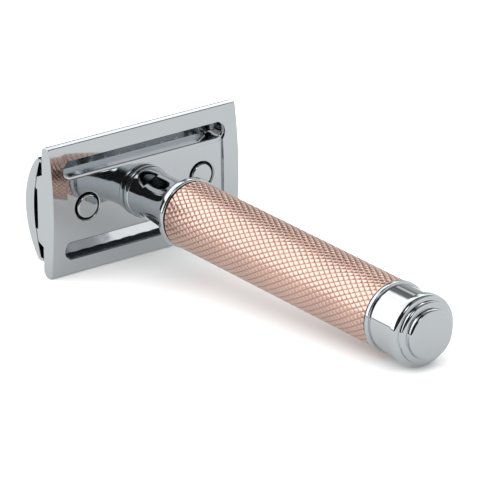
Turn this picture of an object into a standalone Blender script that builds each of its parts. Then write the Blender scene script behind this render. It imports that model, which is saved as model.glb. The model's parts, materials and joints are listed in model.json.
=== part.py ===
"""Three-piece double-edge safety razor, lying on its plate and its pommel.

The razor is modelled along its own axis and then tilted into its resting pose.
In the razor's own frame local X runs along the handle from the head to the
pommel, local Y along the head, and local Z across the head. X = 0 is the plane
of the base plate's two long edges. Sizes are in metres.
"""

from math import asin, atan2, cos, hypot, pi, radians, sin, sqrt

import bmesh
import bpy

MM = 0.001

# ---- Blade: the common double-edge size --------------------------------------
BLADE_LENGTH = 42.8 * MM
BLADE_WIDTH = 22.0 * MM
BLADE_THICKNESS = 0.1 * MM
BLADE_TAB_LENGTH = 2.75 * MM
BLADE_TAB_WIDTH = 13.2 * MM
BLADE_SLOT_WIDTH = 2.4 * MM
BLADE_BEND_RADIUS = 25.0 * MM
BLADE_EDGE_GAP = 0.288 * MM

# ---- Base plate --------------------------------------------------------------
TAB_OVERHANG = 0.15 * MM
PLATE_WIDTH = 26.0 * MM
PLATE_EDGE_THICKNESS = 2.5 * MM
PLATE_FILLET = 0.35 * MM
FIELD_CROWN = 0.28 * MM
END_CROWN = 1.09 * MM
END_ZONE_LENGTH = 2.7 * MM
PLATFORM_WIDTH = 13.0 * MM
PLATFORM_WALL_RUN = 0.7 * MM
SLOT_END_MARGIN = 3.1 * MM
SLOT_WIDTH = 3.2 * MM
SAFETY_BAR_WIDTH = 3.2 * MM
SCALLOP_PITCH = 3.3 * MM
SCALLOP_RADIUS = 1.1 * MM
SCALLOP_DEPTH = 0.35 * MM
TAB_CHANNEL_WIDTH = 8.0 * MM
TAB_CHANNEL_LENGTH = 3.6 * MM
TAB_CHANNEL_DEPTH = 0.8 * MM

# ---- Cap, locating pins and clamping stud ------------------------------------
CAP_EDGE_REVEAL = 0.45 * MM
CAP_THICKNESS = 2.91 * MM
CAP_EDGE_THICKNESS = 1.19 * MM
CAP_LIP_CHAMFER = 0.25 * MM
GUIDE_THICKNESS = 0.55 * MM
GUIDE_INSET = 0.08 * MM
PIN_SPACING = 26.12 * MM
PIN_RADIUS = 2.3 * MM
PIN_ROOT_RADIUS = 1.55 * MM
PIN_END_ROUNDING = 0.4 * MM
PIN_STAND = 0.35 * MM
STUD_RADIUS = 2.5 * MM
STUD_ROOT_RADIUS = 1.9 * MM
STUD_REACH = 10.0 * MM
SOCKET_ROOF = 1.0 * MM

# ---- Handle ------------------------------------------------------------------
FLANGE_RADIUS = 5.1 * MM
FLANGE_LENGTH = 1.3 * MM
NECK_RADIUS = 4.88 * MM
NECK_WAIST_RADIUS = 4.6 * MM
NECK_LENGTH = 12.2 * MM
COLLAR_RADIUS = 6.8 * MM
COLLAR_LENGTH = 1.5 * MM
GRIP_RADIUS = 6.47 * MM
GRIP_LENGTH = 60.3 * MM
GRIP_WALL = 0.65 * MM
SPIGOT_LENGTH = 4.0 * MM
SEAL_THICKNESS = 0.3 * MM
BEAD_RADIUS = 6.75 * MM
BEAD_LENGTH = 0.8 * MM
BAND_RADIUS = 6.25 * MM
BAND_LENGTH = 6.2 * MM
POMMEL_RADIUS = 6.8 * MM
POMMEL_BEAD_ROUNDING = 0.8 * MM
STEP_RADIUS = 5.8 * MM
STEP_LENGTH = 1.0 * MM
DISC_RADIUS = 4.75 * MM
DISC_LENGTH = 1.1 * MM
DISC_ROUNDING = 0.4 * MM
END_BOSS_RADIUS = 4.5 * MM
END_BOSS_LENGTH = 4.0 * MM
ROD_RADIUS = 1.5 * MM
ROD_END_WALL = 1.1 * MM
THREAD_SEAT_DEPTH = 10.4 * MM
BORE_WALL = 2.1 * MM

# ---- Clearances --------------------------------------------------------------
CLAMP_GAP = 0.08 * MM
SEAT_GAP = 0.08 * MM
PIN_CLEARANCE = 0.4 * MM
BLADE_PIN_CLEARANCE = 0.15 * MM
STUD_HOLE_CLEARANCE = 0.4 * MM
THREAD_CLEARANCE = 0.1 * MM
SOCKET_CLEARANCE = 0.08 * MM
SPIGOT_CLEARANCE = 0.1 * MM
STACK_GAP = 0.1 * MM
SHOULDER_GAP = 0.2 * MM

ARC_STEPS = 12
TURN_STEPS = 40
CUT = 3.0 * MM

# ---- Places worked out from the sizes ----------------------------------------
BLADE_HALF_ANGLE = BLADE_WIDTH / 2 / BLADE_BEND_RADIUS
BLADE_HALF_CHORD = BLADE_BEND_RADIUS * sin(BLADE_HALF_ANGLE)
BLADE_RISE = BLADE_BEND_RADIUS * (1 - cos(BLADE_HALF_ANGLE))
BLADE_APEX = -(PLATE_EDGE_THICKNESS + BLADE_EDGE_GAP + BLADE_RISE)
BLADE_EDGE_LENGTH = BLADE_LENGTH - 2 * BLADE_TAB_LENGTH
HEAD_LENGTH = BLADE_LENGTH - 2 * TAB_OVERHANG
SLOT_HALF_LENGTH = HEAD_LENGTH / 2 - SLOT_END_MARGIN
SCALLOP_COUNT = 2 * int(SLOT_HALF_LENGTH / SCALLOP_PITCH) + 1
BEND_CENTRE = BLADE_APEX + BLADE_BEND_RADIUS
CAP_INNER_RADIUS = BLADE_BEND_RADIUS + BLADE_THICKNESS / 2 + CLAMP_GAP
PLATFORM_RADIUS = BLADE_BEND_RADIUS - BLADE_THICKNESS / 2 - CLAMP_GAP
CAP_INNER_APEX = BEND_CENTRE - CAP_INNER_RADIUS
CAP_APEX = CAP_INNER_APEX - CAP_THICKNESS
CAP_HALF_WIDTH = BLADE_HALF_CHORD - CAP_EDGE_REVEAL
CAP_CROWN_REACH = CAP_HALF_WIDTH - CAP_LIP_CHAMFER
CAP_INNER_RISE = CAP_INNER_RADIUS - sqrt(CAP_INNER_RADIUS**2 - CAP_CROWN_REACH**2)
CAP_CROWN_RISE = CAP_THICKNESS + CAP_INNER_RISE - CAP_EDGE_THICKNESS
CAP_CROWN_RADIUS = (CAP_CROWN_REACH**2 + CAP_CROWN_RISE**2) / (2 * CAP_CROWN_RISE)
CAP_CROWN_CENTRE = CAP_APEX + CAP_CROWN_RADIUS
PLATE_HALF_WIDTH = PLATE_WIDTH / 2
EDGE_ROUND = PLATE_EDGE_THICKNESS - PLATE_FILLET
SLOT_CENTRE = PLATE_HALF_WIDTH - SAFETY_BAR_WIDTH - SLOT_WIDTH / 2
HANDLE_SEAT = FIELD_CROWN + SEAT_GAP
FLANGE_END = HANDLE_SEAT + FLANGE_LENGTH
COLLAR_START = FLANGE_END + NECK_LENGTH
COLLAR_END = COLLAR_START + COLLAR_LENGTH
SEAL_GROOVE = SEAL_THICKNESS + 2 * STACK_GAP
GRIP_START = COLLAR_END + SEAL_GROOVE
GRIP_END = GRIP_START + GRIP_LENGTH
FERRULE_START = GRIP_END + SEAL_GROOVE
BAND_START = FERRULE_START + BEAD_LENGTH
BAND_END = BAND_START + BAND_LENGTH
POMMEL_START = BAND_END + STACK_GAP
POMMEL_BEAD_END = POMMEL_START + 2 * POMMEL_BEAD_ROUNDING
STEP_END = POMMEL_BEAD_END + STEP_LENGTH
RAZOR_END = STEP_END + DISC_LENGTH
SOCKET_DEPTH = CAP_THICKNESS - SOCKET_ROOF
NECK_ROD_SEAT = HANDLE_SEAT + THREAD_SEAT_DEPTH + BORE_WALL
POMMEL_ROD_SEAT = RAZOR_END - ROD_END_WALL
SPIGOT_RADIUS = GRIP_RADIUS - GRIP_WALL - SPIGOT_CLEARANCE

# ---- Resting pose: on the plate's lower long edge and on a bead of the pommel --
EDGE_REST_X = -PLATE_FILLET
EDGE_REST_Z = PLATE_HALF_WIDTH - PLATE_FILLET
BEAD_REST_Z = POMMEL_RADIUS - POMMEL_BEAD_ROUNDING


def resting_tilt(x, z, rounding):
    """How far the razor tips before a bead rounded about (x, z) meets the floor."""
    run = x - EDGE_REST_X
    drop = EDGE_REST_Z - z
    return atan2(drop, run) - asin((rounding - PLATE_FILLET) / hypot(run, drop))


TILT = min(
    resting_tilt(FERRULE_START + BEAD_LENGTH / 2, BEAD_RADIUS, 0),
    resting_tilt(
        POMMEL_START + POMMEL_BEAD_ROUNDING, BEAD_REST_Z, POMMEL_BEAD_ROUNDING
    ),
)
AXIS_HEIGHT = EDGE_REST_X * sin(TILT) + EDGE_REST_Z * cos(TILT) + PLATE_FILLET
HEAD_SIDE_X = CAP_CROWN_CENTRE * cos(TILT) - CAP_CROWN_RADIUS
POMMEL_SIDE_X = (
    (RAZOR_END - DISC_ROUNDING) * cos(TILT)
    + (DISC_RADIUS - DISC_ROUNDING) * sin(TILT)
    + DISC_ROUNDING
)
AXIS_X = -(HEAD_SIDE_X + POMMEL_SIDE_X) / 2

# Turns that carry a piece from its drawing plane into the razor's own frame.
ALONG_HEAD = (pi / 2, 0, 0)  # drawn in X and Z, drawn out along the head
ALONG_HANDLE = (pi / 2, 0, pi / 2)  # drawn in Y and Z, drawn out along the handle
TURNED_ON_HANDLE = (0, pi / 2, 0)  # turned about its own Z, laid along the handle
TURNED_ON_WIDTH = (0, 0, 0)  # turned about the direction across the head


def clear_scene():
    for obj in list(bpy.data.objects):
        bpy.data.objects.remove(obj, do_unlink=True)


def make_collections():
    razor = bpy.data.collections.new("safety_razor")
    cutters = bpy.data.collections.new("cutters")
    for collection in (razor, cutters):
        bpy.context.scene.collection.children.link(collection)
    cutters.hide_render = True
    return razor, cutters


def make_material(name, colour, roughness, metallic):
    material = bpy.data.materials.new(name)
    material.use_nodes = True
    shader = material.node_tree.nodes["Principled BSDF"]
    shader.inputs["Base Color"].default_value = (*colour, 1.0)
    shader.inputs["Roughness"].default_value = roughness
    shader.inputs["Metallic"].default_value = metallic
    return material


def make_axis(name, parent=None, location=(0, 0, 0), rotation=(0, 0, 0)):
    """An empty that carries pieces; a moving one lies on its joint's axis."""
    empty = bpy.data.objects.new(name, None)
    empty.empty_display_size = 5 * MM
    empty.parent = parent
    empty.location = location
    empty.rotation_euler = rotation
    RAZOR.objects.link(empty)
    return empty


def add_object(name, mesh, parent, location, rotation, material=None):
    """A piece when it has a material, and otherwise a cutter or a helper shape."""
    obj = bpy.data.objects.new(name, mesh)
    obj.parent = parent
    obj.location = location
    obj.rotation_euler = rotation
    if material:
        mesh.materials.append(material)
        RAZOR.objects.link(obj)
    else:
        obj.hide_render = True
        obj.display_type = "WIRE"
        CUTTERS.objects.link(obj)
    return obj


def arc(centre, radius, start, end, steps=ARC_STEPS):
    """Points on a circle from one angle to another, both ends included."""
    angles = [start + (end - start) * i / steps for i in range(steps + 1)]
    return [(centre[0] + radius * cos(t), centre[1] + radius * sin(t)) for t in angles]


def outline_solid(name, outline, depth, parent, location, rotation, material=None):
    """A flat outline drawn out by half its depth to each side, as a welded mesh."""
    curve = bpy.data.curves.new(name, "CURVE")
    curve.dimensions = "2D"
    curve.fill_mode = "BOTH"
    curve.extrude = depth / 2
    spline = curve.splines.new("POLY")
    spline.points.add(len(outline) - 1)
    for point, (x, y) in zip(spline.points, outline):
        point.co = (x, y, 0, 1)
    spline.use_cyclic_u = True
    drawn = bpy.data.objects.new(name, curve)
    CUTTERS.objects.link(drawn)
    evaluated = drawn.evaluated_get(bpy.context.evaluated_depsgraph_get())
    mesh = bpy.data.meshes.new_from_object(evaluated)
    bpy.data.objects.remove(drawn, do_unlink=True)
    welded = bmesh.new()
    welded.from_mesh(mesh)
    bmesh.ops.remove_doubles(welded, verts=welded.verts, dist=0.001 * MM)
    bmesh.ops.recalc_face_normals(welded, faces=welded.faces)
    welded.to_mesh(mesh)
    welded.free()
    return add_object(name, mesh, parent, location, rotation, material)


def box(name, size, parent, location, material=None):
    shape = bmesh.new()
    bmesh.ops.create_cube(shape, size=1.0)
    bmesh.ops.scale(shape, vec=size, verts=shape.verts)
    mesh = bpy.data.meshes.new(name)
    shape.to_mesh(mesh)
    shape.free()
    return add_object(name, mesh, parent, location, (0, 0, 0), material)


def cylinder(name, radius, depth, parent, location, rotation):
    shape = bmesh.new()
    bmesh.ops.create_cone(
        shape,
        cap_ends=True,
        segments=TURN_STEPS,
        radius1=radius,
        radius2=radius,
        depth=depth,
    )
    mesh = bpy.data.meshes.new(name)
    shape.to_mesh(mesh)
    shape.free()
    return add_object(name, mesh, parent, location, rotation)


def turned(name, profile, parent, material, location=(0, 0, 0), closed=False):
    """A profile of (place along the handle, radius), turned round the handle's axis.

    An open profile starts and ends on the axis. A closed one makes a ring or tube.
    """
    shape = bmesh.new()
    verts = [shape.verts.new((r, 0, x)) for x, r in profile]
    for first, second in zip(verts, verts[1:]):
        shape.edges.new((first, second))
    if closed:
        shape.edges.new((verts[-1], verts[0]))
    mesh = bpy.data.meshes.new(name)
    shape.to_mesh(mesh)
    shape.free()
    obj = add_object(name, mesh, parent, location, TURNED_ON_HANDLE, material)
    screw = obj.modifiers.new("Turn", "SCREW")
    screw.axis = "Z"
    screw.steps = TURN_STEPS
    screw.render_steps = TURN_STEPS
    screw.use_merge_vertices = True
    screw.merge_threshold = 0.001 * MM
    screw.use_smooth_shade = True
    return obj


def boolean(obj, cutter, operation="DIFFERENCE"):
    modifier = obj.modifiers.new(f"{operation.title()} {cutter.name}", "BOOLEAN")
    modifier.operation = operation
    modifier.solver = "EXACT"
    modifier.object = cutter


def array(obj, count, step):
    modifier = obj.modifiers.new("Row", "ARRAY")
    modifier.count = count
    modifier.use_relative_offset = False
    modifier.use_constant_offset = True
    modifier.constant_offset_displace = step


def mirrored(half):
    """A half outline, drawn from the middle of one side to the middle of the other."""
    return half + [(x, -z) for x, z in reversed(half) if abs(z) > 0.001 * MM]


# ---- Head --------------------------------------------------------------------


def underside_radius(crown):
    reach = PLATE_HALF_WIDTH - PLATE_FILLET
    return (reach**2 + crown**2) / (2 * crown)


def plate_section():
    """Half of the plate's section: underside, rounded bar, ledge, wall, platform."""
    reach = PLATE_HALF_WIDTH - PLATE_FILLET
    radius = underside_radius(END_CROWN)
    half = arc((END_CROWN - radius, 0), radius, 0, asin(reach / radius))
    half += arc((-PLATE_FILLET, reach), PLATE_FILLET, 0, pi / 2, 4)[1:]
    bar_centre = (-PLATE_FILLET, PLATE_HALF_WIDTH - EDGE_ROUND)
    half += arc(bar_centre, EDGE_ROUND, pi / 2, pi, 8)[1:]
    wall_foot = PLATFORM_WIDTH / 2 + PLATFORM_WALL_RUN
    half.append((-PLATE_EDGE_THICKNESS, wall_foot))
    lean = asin(PLATFORM_WIDTH / 2 / PLATFORM_RADIUS)
    half += arc((BEND_CENTRE, 0), PLATFORM_RADIUS, pi - lean, pi, 6)
    return mirrored(half)


def field_section():
    """What is taken off the underside between the two end zones."""
    radius = underside_radius(FIELD_CROWN)
    spread = asin((PLATE_HALF_WIDTH + CUT) / radius)
    half = arc((FIELD_CROWN - radius, 0), radius, 0, spread, 2 * ARC_STEPS)
    half.append((CUT, PLATE_HALF_WIDTH + CUT))
    half.append((CUT, 0))
    return mirrored(half)


def slot_outline():
    straight = SLOT_HALF_LENGTH - SLOT_WIDTH / 2
    radius = SLOT_WIDTH / 2
    right = arc((straight, 0), radius, -pi / 2, pi / 2)
    left = arc((-straight, 0), radius, pi / 2, 3 * pi / 2)
    return right + left


def make_base_plate():
    plate = outline_solid(
        "base_plate", plate_section(), HEAD_LENGTH, ROOT, (0, 0, 0), ALONG_HEAD, CHROME
    )
    field_length = HEAD_LENGTH - 2 * END_ZONE_LENGTH
    field = outline_solid(
        "underside_field", field_section(), field_length, ROOT, (0, 0, 0), ALONG_HEAD
    )
    boolean(plate, field)
    for name, side in (("lower", -1), ("upper", 1)):
        slot = outline_solid(
            f"{name}_lather_slot",
            slot_outline(),
            4 * CUT,
            ROOT,
            (-CUT, 0, side * SLOT_CENTRE),
            ALONG_HANDLE,
        )
        boolean(plate, slot)
        boolean(plate, scallop_row(f"{name}_scallops", side))
    for name, side in (("left", -1), ("right", 1)):
        place = (-CUT, side * PIN_SPACING / 2, 0)
        radius = PIN_RADIUS + PIN_CLEARANCE
        boolean(plate, handle_drill(f"{name}_pin_hole", radius, place))
        boolean(plate, tab_channel(f"{name}_tab_channel", side))
    radius = STUD_RADIUS + STUD_HOLE_CLEARANCE
    boolean(plate, handle_drill("stud_hole", radius, (-CUT, 0, 0)))
    return plate


def handle_drill(name, radius, place):
    """A round cutter along the handle, longer than the plate is thick."""
    return cylinder(name, radius, 4 * CUT, ROOT, place, TURNED_ON_HANDLE)


def scallop_row(name, side):
    """Shallow grooves across one safety bar, on the side that faces the blade."""
    first = -SCALLOP_PITCH * (SCALLOP_COUNT - 1) / 2
    x = -PLATE_EDGE_THICKNESS - SCALLOP_RADIUS + SCALLOP_DEPTH
    reach = SAFETY_BAR_WIDTH + SLOT_WIDTH / 2
    z = side * (PLATE_HALF_WIDTH - reach / 2 + SCALLOP_DEPTH)
    row = cylinder(name, SCALLOP_RADIUS, reach, ROOT, (x, first, z), TURNED_ON_WIDTH)
    array(row, SCALLOP_COUNT, (0, SCALLOP_PITCH, 0))
    return row


def tab_channel(name, side):
    """The open end of the channel under the blade's tab."""
    floor = BEND_CENTRE - PLATFORM_RADIUS + TAB_CHANNEL_DEPTH
    size = (CUT, TAB_CHANNEL_LENGTH + CUT, TAB_CHANNEL_WIDTH)
    y = side * (HEAD_LENGTH - TAB_CHANNEL_LENGTH + CUT) / 2
    return box(name, size, ROOT, (floor - CUT / 2, y, 0))


def cap_section():
    """Half of the cap's section, from the crown to the face that clamps the blade."""
    crown_end = asin(CAP_CROWN_REACH / CAP_CROWN_RADIUS)
    half = arc((CAP_CROWN_CENTRE, 0), CAP_CROWN_RADIUS, pi, pi - crown_end)
    lip_top = half[-1][0] + CAP_LIP_CHAMFER
    inner_end = asin(CAP_CROWN_REACH / CAP_INNER_RADIUS)
    inner = arc((BEND_CENTRE, 0), CAP_INNER_RADIUS, pi - inner_end, pi)
    lip_bottom = inner[0][0] - CAP_LIP_CHAMFER
    half += [(lip_top, CAP_HALF_WIDTH), (lip_bottom, CAP_HALF_WIDTH)]
    return mirrored(half + inner)


def make_top_cap():
    cap = outline_solid(
        "top_cap", cap_section(), HEAD_LENGTH, CAP_AXIS, (0, 0, 0), ALONG_HEAD, CHROME
    )
    guide_foot = -PLATE_EDGE_THICKNESS - SHOULDER_GAP
    guide_length = (HEAD_LENGTH - BLADE_EDGE_LENGTH) / 2 - SHOULDER_GAP
    z = CAP_HALF_WIDTH - GUIDE_INSET - GUIDE_THICKNESS / 2
    edge_top = BEND_CENTRE - sqrt(CAP_INNER_RADIUS**2 - z**2)
    height = guide_foot - edge_top + GUIDE_THICKNESS
    size = (height, guide_length, GUIDE_THICKNESS)
    y = (HEAD_LENGTH - guide_length) / 2 - GUIDE_INSET
    for name, along, across in (
        ("lower_left", -1, -1),
        ("upper_left", -1, 1),
        ("lower_right", 1, -1),
        ("upper_right", 1, 1),
    ):
        place = (guide_foot - height / 2, along * y, across * z)
        guide = box(f"{name}_blade_guide", size, CAP_AXIS, place)
        boolean(cap, guide, "UNION")
    socket_reach = SOCKET_DEPTH + CUT
    x = CAP_INNER_APEX - SOCKET_DEPTH + socket_reach / 2
    for name, y, root in (
        ("left_pin_socket", -PIN_SPACING / 2, PIN_ROOT_RADIUS),
        ("right_pin_socket", PIN_SPACING / 2, PIN_ROOT_RADIUS),
        ("stud_socket", 0, STUD_ROOT_RADIUS),
    ):
        radius = root + SOCKET_CLEARANCE
        socket = cylinder(
            name, radius, socket_reach, CAP_AXIS, (x, y, 0), TURNED_ON_HANDLE
        )
        boolean(cap, socket)
    return cap


def shoulder_place(radius):
    """Where a shoulder of this radius clears the cap's curved inner face."""
    return BEND_CENTRE - sqrt(CAP_INNER_RADIUS**2 - radius**2) + SOCKET_CLEARANCE


def make_locating_pin(name, side):
    root_end = CAP_INNER_APEX - SOCKET_DEPTH + SOCKET_CLEARANCE
    shoulder = shoulder_place(PIN_RADIUS)
    face = PIN_RADIUS - PIN_END_ROUNDING
    end = FIELD_CROWN + PIN_STAND
    corner = (end - PIN_END_ROUNDING, face)
    profile = [(root_end, 0), (root_end, PIN_ROOT_RADIUS)]
    profile += [(shoulder, PIN_ROOT_RADIUS), (shoulder, PIN_RADIUS)]
    profile += arc(corner, PIN_END_ROUNDING, pi / 2, 0, 4)
    profile.append((end, 0))
    place = (0, side * PIN_SPACING / 2, 0)
    return turned(name, profile[::-1], CAP_AXIS, CHROME, place)


def make_clamp_stud():
    root_end = CAP_INNER_APEX - SOCKET_DEPTH + SOCKET_CLEARANCE
    shoulder = shoulder_place(STUD_RADIUS)
    lead_in = STUD_RADIUS - STUD_ROOT_RADIUS
    profile = [
        (root_end, 0),
        (root_end, STUD_ROOT_RADIUS),
        (shoulder, STUD_ROOT_RADIUS),
        (shoulder, STUD_RADIUS),
        (STUD_REACH - lead_in, STUD_RADIUS),
        (STUD_REACH, STUD_ROOT_RADIUS),
        (STUD_REACH, 0),
    ]
    return turned("clamp_stud", profile[::-1], CAP_AXIS, STEEL)


def make_blade():
    """A thin strip bent round the head's length, notched and pierced."""
    line = bmesh.new()
    start = line.verts.new((BLADE_BEND_RADIUS, 0, -BLADE_LENGTH / 2))
    end = line.verts.new((BLADE_BEND_RADIUS, 0, BLADE_LENGTH / 2))
    line.edges.new((start, end))
    mesh = bpy.data.meshes.new("blade")
    line.to_mesh(mesh)
    line.free()
    turn = (pi / 2, BLADE_HALF_ANGLE - pi, 0)
    place = (BEND_CENTRE, 0, 0)
    blade = add_object("blade", mesh, BLADE_AXIS, place, turn, STEEL)
    bend = blade.modifiers.new("Bend", "SCREW")
    bend.axis = "Z"
    bend.angle = 2 * BLADE_HALF_ANGLE
    bend.steps = 2 * ARC_STEPS
    bend.render_steps = 2 * ARC_STEPS
    bend.use_merge_vertices = False
    sheet = blade.modifiers.new("Sheet", "SOLIDIFY")
    sheet.thickness = BLADE_THICKNESS
    sheet.offset = 0
    tab = BLADE_BEND_RADIUS * sin(BLADE_TAB_WIDTH / 2 / BLADE_BEND_RADIUS)
    notch_size = (3 * CUT, CUT, CUT + PLATE_HALF_WIDTH - tab)
    for name, along, across in (
        ("lower_left_notch", -1, -1),
        ("upper_left_notch", -1, 1),
        ("lower_right_notch", 1, -1),
        ("upper_right_notch", 1, 1),
    ):
        y = along * (BLADE_EDGE_LENGTH + notch_size[1]) / 2
        z = across * (tab + notch_size[2] / 2)
        notch = box(name, notch_size, BLADE_AXIS, (BLADE_APEX, y, z))
        boolean(blade, notch)
    for name, y, radius in (
        ("left_blade_hole", -PIN_SPACING / 2, PIN_RADIUS + BLADE_PIN_CLEARANCE),
        ("right_blade_hole", PIN_SPACING / 2, PIN_RADIUS + BLADE_PIN_CLEARANCE),
        ("middle_blade_hole", 0, STUD_RADIUS + STUD_HOLE_CLEARANCE),
    ):
        place = (BLADE_APEX, y, 0)
        hole = cylinder(name, radius, CUT, BLADE_AXIS, place, TURNED_ON_HANDLE)
        boolean(blade, hole)
    slot_size = (CUT, PIN_SPACING, BLADE_SLOT_WIDTH)
    slot = box("blade_slot", slot_size, BLADE_AXIS, (BLADE_APEX, 0, 0))
    boolean(blade, slot)
    return blade


# ---- Handle ------------------------------------------------------------------


def bead(start, length, crest, foot, steps=6):
    """Points over a rounded bead that stands from foot to crest."""
    points = []
    for i in range(steps + 1):
        t = pi * i / steps
        points.append(
            (start + length * (1 - cos(t)) / 2, foot + (crest - foot) * sin(t))
        )
    return points


def flare(start, end, small, large, steps=8):
    """Points of a hollow curve that starts along the handle and opens outwards."""
    points = []
    for i in range(steps + 1):
        t = pi / 2 * i / steps
        points.append(
            (start + (end - start) * sin(t), small + (large - small) * (1 - cos(t)))
        )
    return points


def make_neck():
    foot = FLANGE_RADIUS - FLANGE_LENGTH / 4
    stud_bore = STUD_RADIUS + THREAD_CLEARANCE
    rod_bore = ROD_RADIUS + SOCKET_CLEARANCE
    waist = HANDLE_SEAT + (COLLAR_START - HANDLE_SEAT) / 3
    spigot_end = COLLAR_END + SPIGOT_LENGTH
    seat_end = HANDLE_SEAT + THREAD_SEAT_DEPTH
    profile = [(seat_end, 0), (seat_end, stud_bore), (HANDLE_SEAT, stud_bore)]
    profile += bead(HANDLE_SEAT, FLANGE_LENGTH, FLANGE_RADIUS, foot)
    profile += [(FLANGE_END + STACK_GAP, NECK_RADIUS)]
    profile += flare(
        waist, COLLAR_START, NECK_WAIST_RADIUS, COLLAR_RADIUS - COLLAR_LENGTH / 4
    )
    profile += bead(
        COLLAR_START + STACK_GAP,
        COLLAR_LENGTH - STACK_GAP,
        COLLAR_RADIUS,
        COLLAR_RADIUS - COLLAR_LENGTH / 3,
    )
    profile += [(COLLAR_END, SPIGOT_RADIUS), (spigot_end, SPIGOT_RADIUS)]
    profile += [(spigot_end, rod_bore), (NECK_ROD_SEAT, rod_bore), (NECK_ROD_SEAT, 0)]
    return turned("neck", profile[::-1], HANDLE_AXIS, CHROME)


def make_seal_ring(name, start):
    end = start + SEAL_THICKNESS
    inner = SPIGOT_RADIUS + SPIGOT_CLEARANCE
    outer = GRIP_RADIUS - STACK_GAP
    profile = [(end, inner), (end, outer), (start, outer), (start, inner)]
    return turned(name, profile, HANDLE_AXIS, RUBBER, closed=True)


def make_grip_sleeve():
    inner = GRIP_RADIUS - GRIP_WALL
    profile = [
        (GRIP_END, inner),
        (GRIP_END, GRIP_RADIUS),
        (GRIP_START, GRIP_RADIUS),
        (GRIP_START, inner),
    ]
    return turned("grip_sleeve", profile, HANDLE_AXIS, ROSE_GOLD, closed=True)


def make_tie_rod():
    start = NECK_ROD_SEAT + STACK_GAP
    end = POMMEL_ROD_SEAT - STACK_GAP
    profile = [(end, 0), (end, ROD_RADIUS), (start, ROD_RADIUS), (start, 0)]
    return turned("tie_rod", profile, HANDLE_AXIS, STEEL)


def make_pommel_ferrule():
    rod_bore = ROD_RADIUS + SPIGOT_CLEARANCE
    boss_bore = END_BOSS_RADIUS + SPIGOT_CLEARANCE
    boss_floor = POMMEL_START - END_BOSS_LENGTH - SHOULDER_GAP
    front = FERRULE_START - SPIGOT_LENGTH
    profile = [(front, rod_bore), (front, SPIGOT_RADIUS)]
    profile += [(FERRULE_START, SPIGOT_RADIUS)]
    profile += bead(FERRULE_START, BEAD_LENGTH, BEAD_RADIUS, BAND_RADIUS)
    profile += [(BAND_END, BAND_RADIUS), (BAND_END, boss_bore)]
    profile += [(boss_floor, boss_bore), (boss_floor, rod_bore)]
    return turned(
        "pommel_ferrule", profile[::-1], HANDLE_AXIS, CHROME, closed=True
    )


def make_pommel_cap():
    front = POMMEL_START - END_BOSS_LENGTH
    rod_bore = ROD_RADIUS + SOCKET_CLEARANCE
    bead_centre = (POMMEL_START + POMMEL_BEAD_ROUNDING, BEAD_REST_Z)
    corner = (RAZOR_END - DISC_ROUNDING, DISC_RADIUS - DISC_ROUNDING)
    profile = [(POMMEL_ROD_SEAT, 0), (POMMEL_ROD_SEAT, rod_bore), (front, rod_bore)]
    profile += [(front, END_BOSS_RADIUS), (POMMEL_START, END_BOSS_RADIUS)]
    profile += arc(bead_centre, POMMEL_BEAD_ROUNDING, pi, 0, 10)
    profile += [(POMMEL_BEAD_END, STEP_RADIUS), (STEP_END, STEP_RADIUS)]
    profile += [(STEP_END, DISC_RADIUS)]
    profile += arc(corner, DISC_ROUNDING, pi / 2, 0, 4)
    profile.append((RAZOR_END, 0))
    return turned("pommel_cap", profile[::-1], HANDLE_AXIS, CHROME)


def shade_pieces():
    bpy.context.view_layer.update()
    for obj in RAZOR.objects:
        if obj.type == "MESH" and len(obj.data.polygons):
            obj.data.shade_smooth()
            obj.data.set_sharp_from_angle(angle=radians(30))


clear_scene()
RAZOR, CUTTERS = make_collections()
CHROME = make_material("chrome", (0.78, 0.79, 0.80), 0.06, 1.0)
STEEL = make_material("polished_steel", (0.62, 0.63, 0.65), 0.18, 1.0)
ROSE_GOLD = make_material("rose_gold", (0.86, 0.60, 0.50), 0.22, 1.0)
RUBBER = make_material("seal_rubber", (0.03, 0.03, 0.03), 0.7, 0.0)

ROOT = make_axis("razor_rest", None, (AXIS_X, 0, AXIS_HEIGHT), (0, TILT, 0))
CAP_AXIS = make_axis("cap_lift_axis", ROOT)
BLADE_AXIS = make_axis("blade_lift_axis", ROOT)
HANDLE_AXIS = make_axis("handle_turn_axis", ROOT)

make_base_plate()
make_top_cap()
make_locating_pin("locating_pin_left", -1)
make_locating_pin("locating_pin_right", 1)
make_clamp_stud()
make_blade()
make_neck()
make_seal_ring("neck_seal_ring", COLLAR_END + STACK_GAP)
make_grip_sleeve()
make_tie_rod()
make_seal_ring("pommel_seal_ring", GRIP_END + STACK_GAP)
make_pommel_ferrule()
make_pommel_cap()
shade_pieces()
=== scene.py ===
"""Looks of a three-piece safety razor and its studio, laid out as a Blender add-on.

Every piece is modelled in the razor's own frame: X runs along the handle from the
head to the pommel, Y along the head and Z across it, and X = 0 is the plane of the
base plate's two long edges. lay_down() then carries the piece to its resting pose.
"""

import json
from math import asin, cos, pi, radians, sin, sqrt

import bmesh
import bpy
from mathutils import Matrix, Vector


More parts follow.
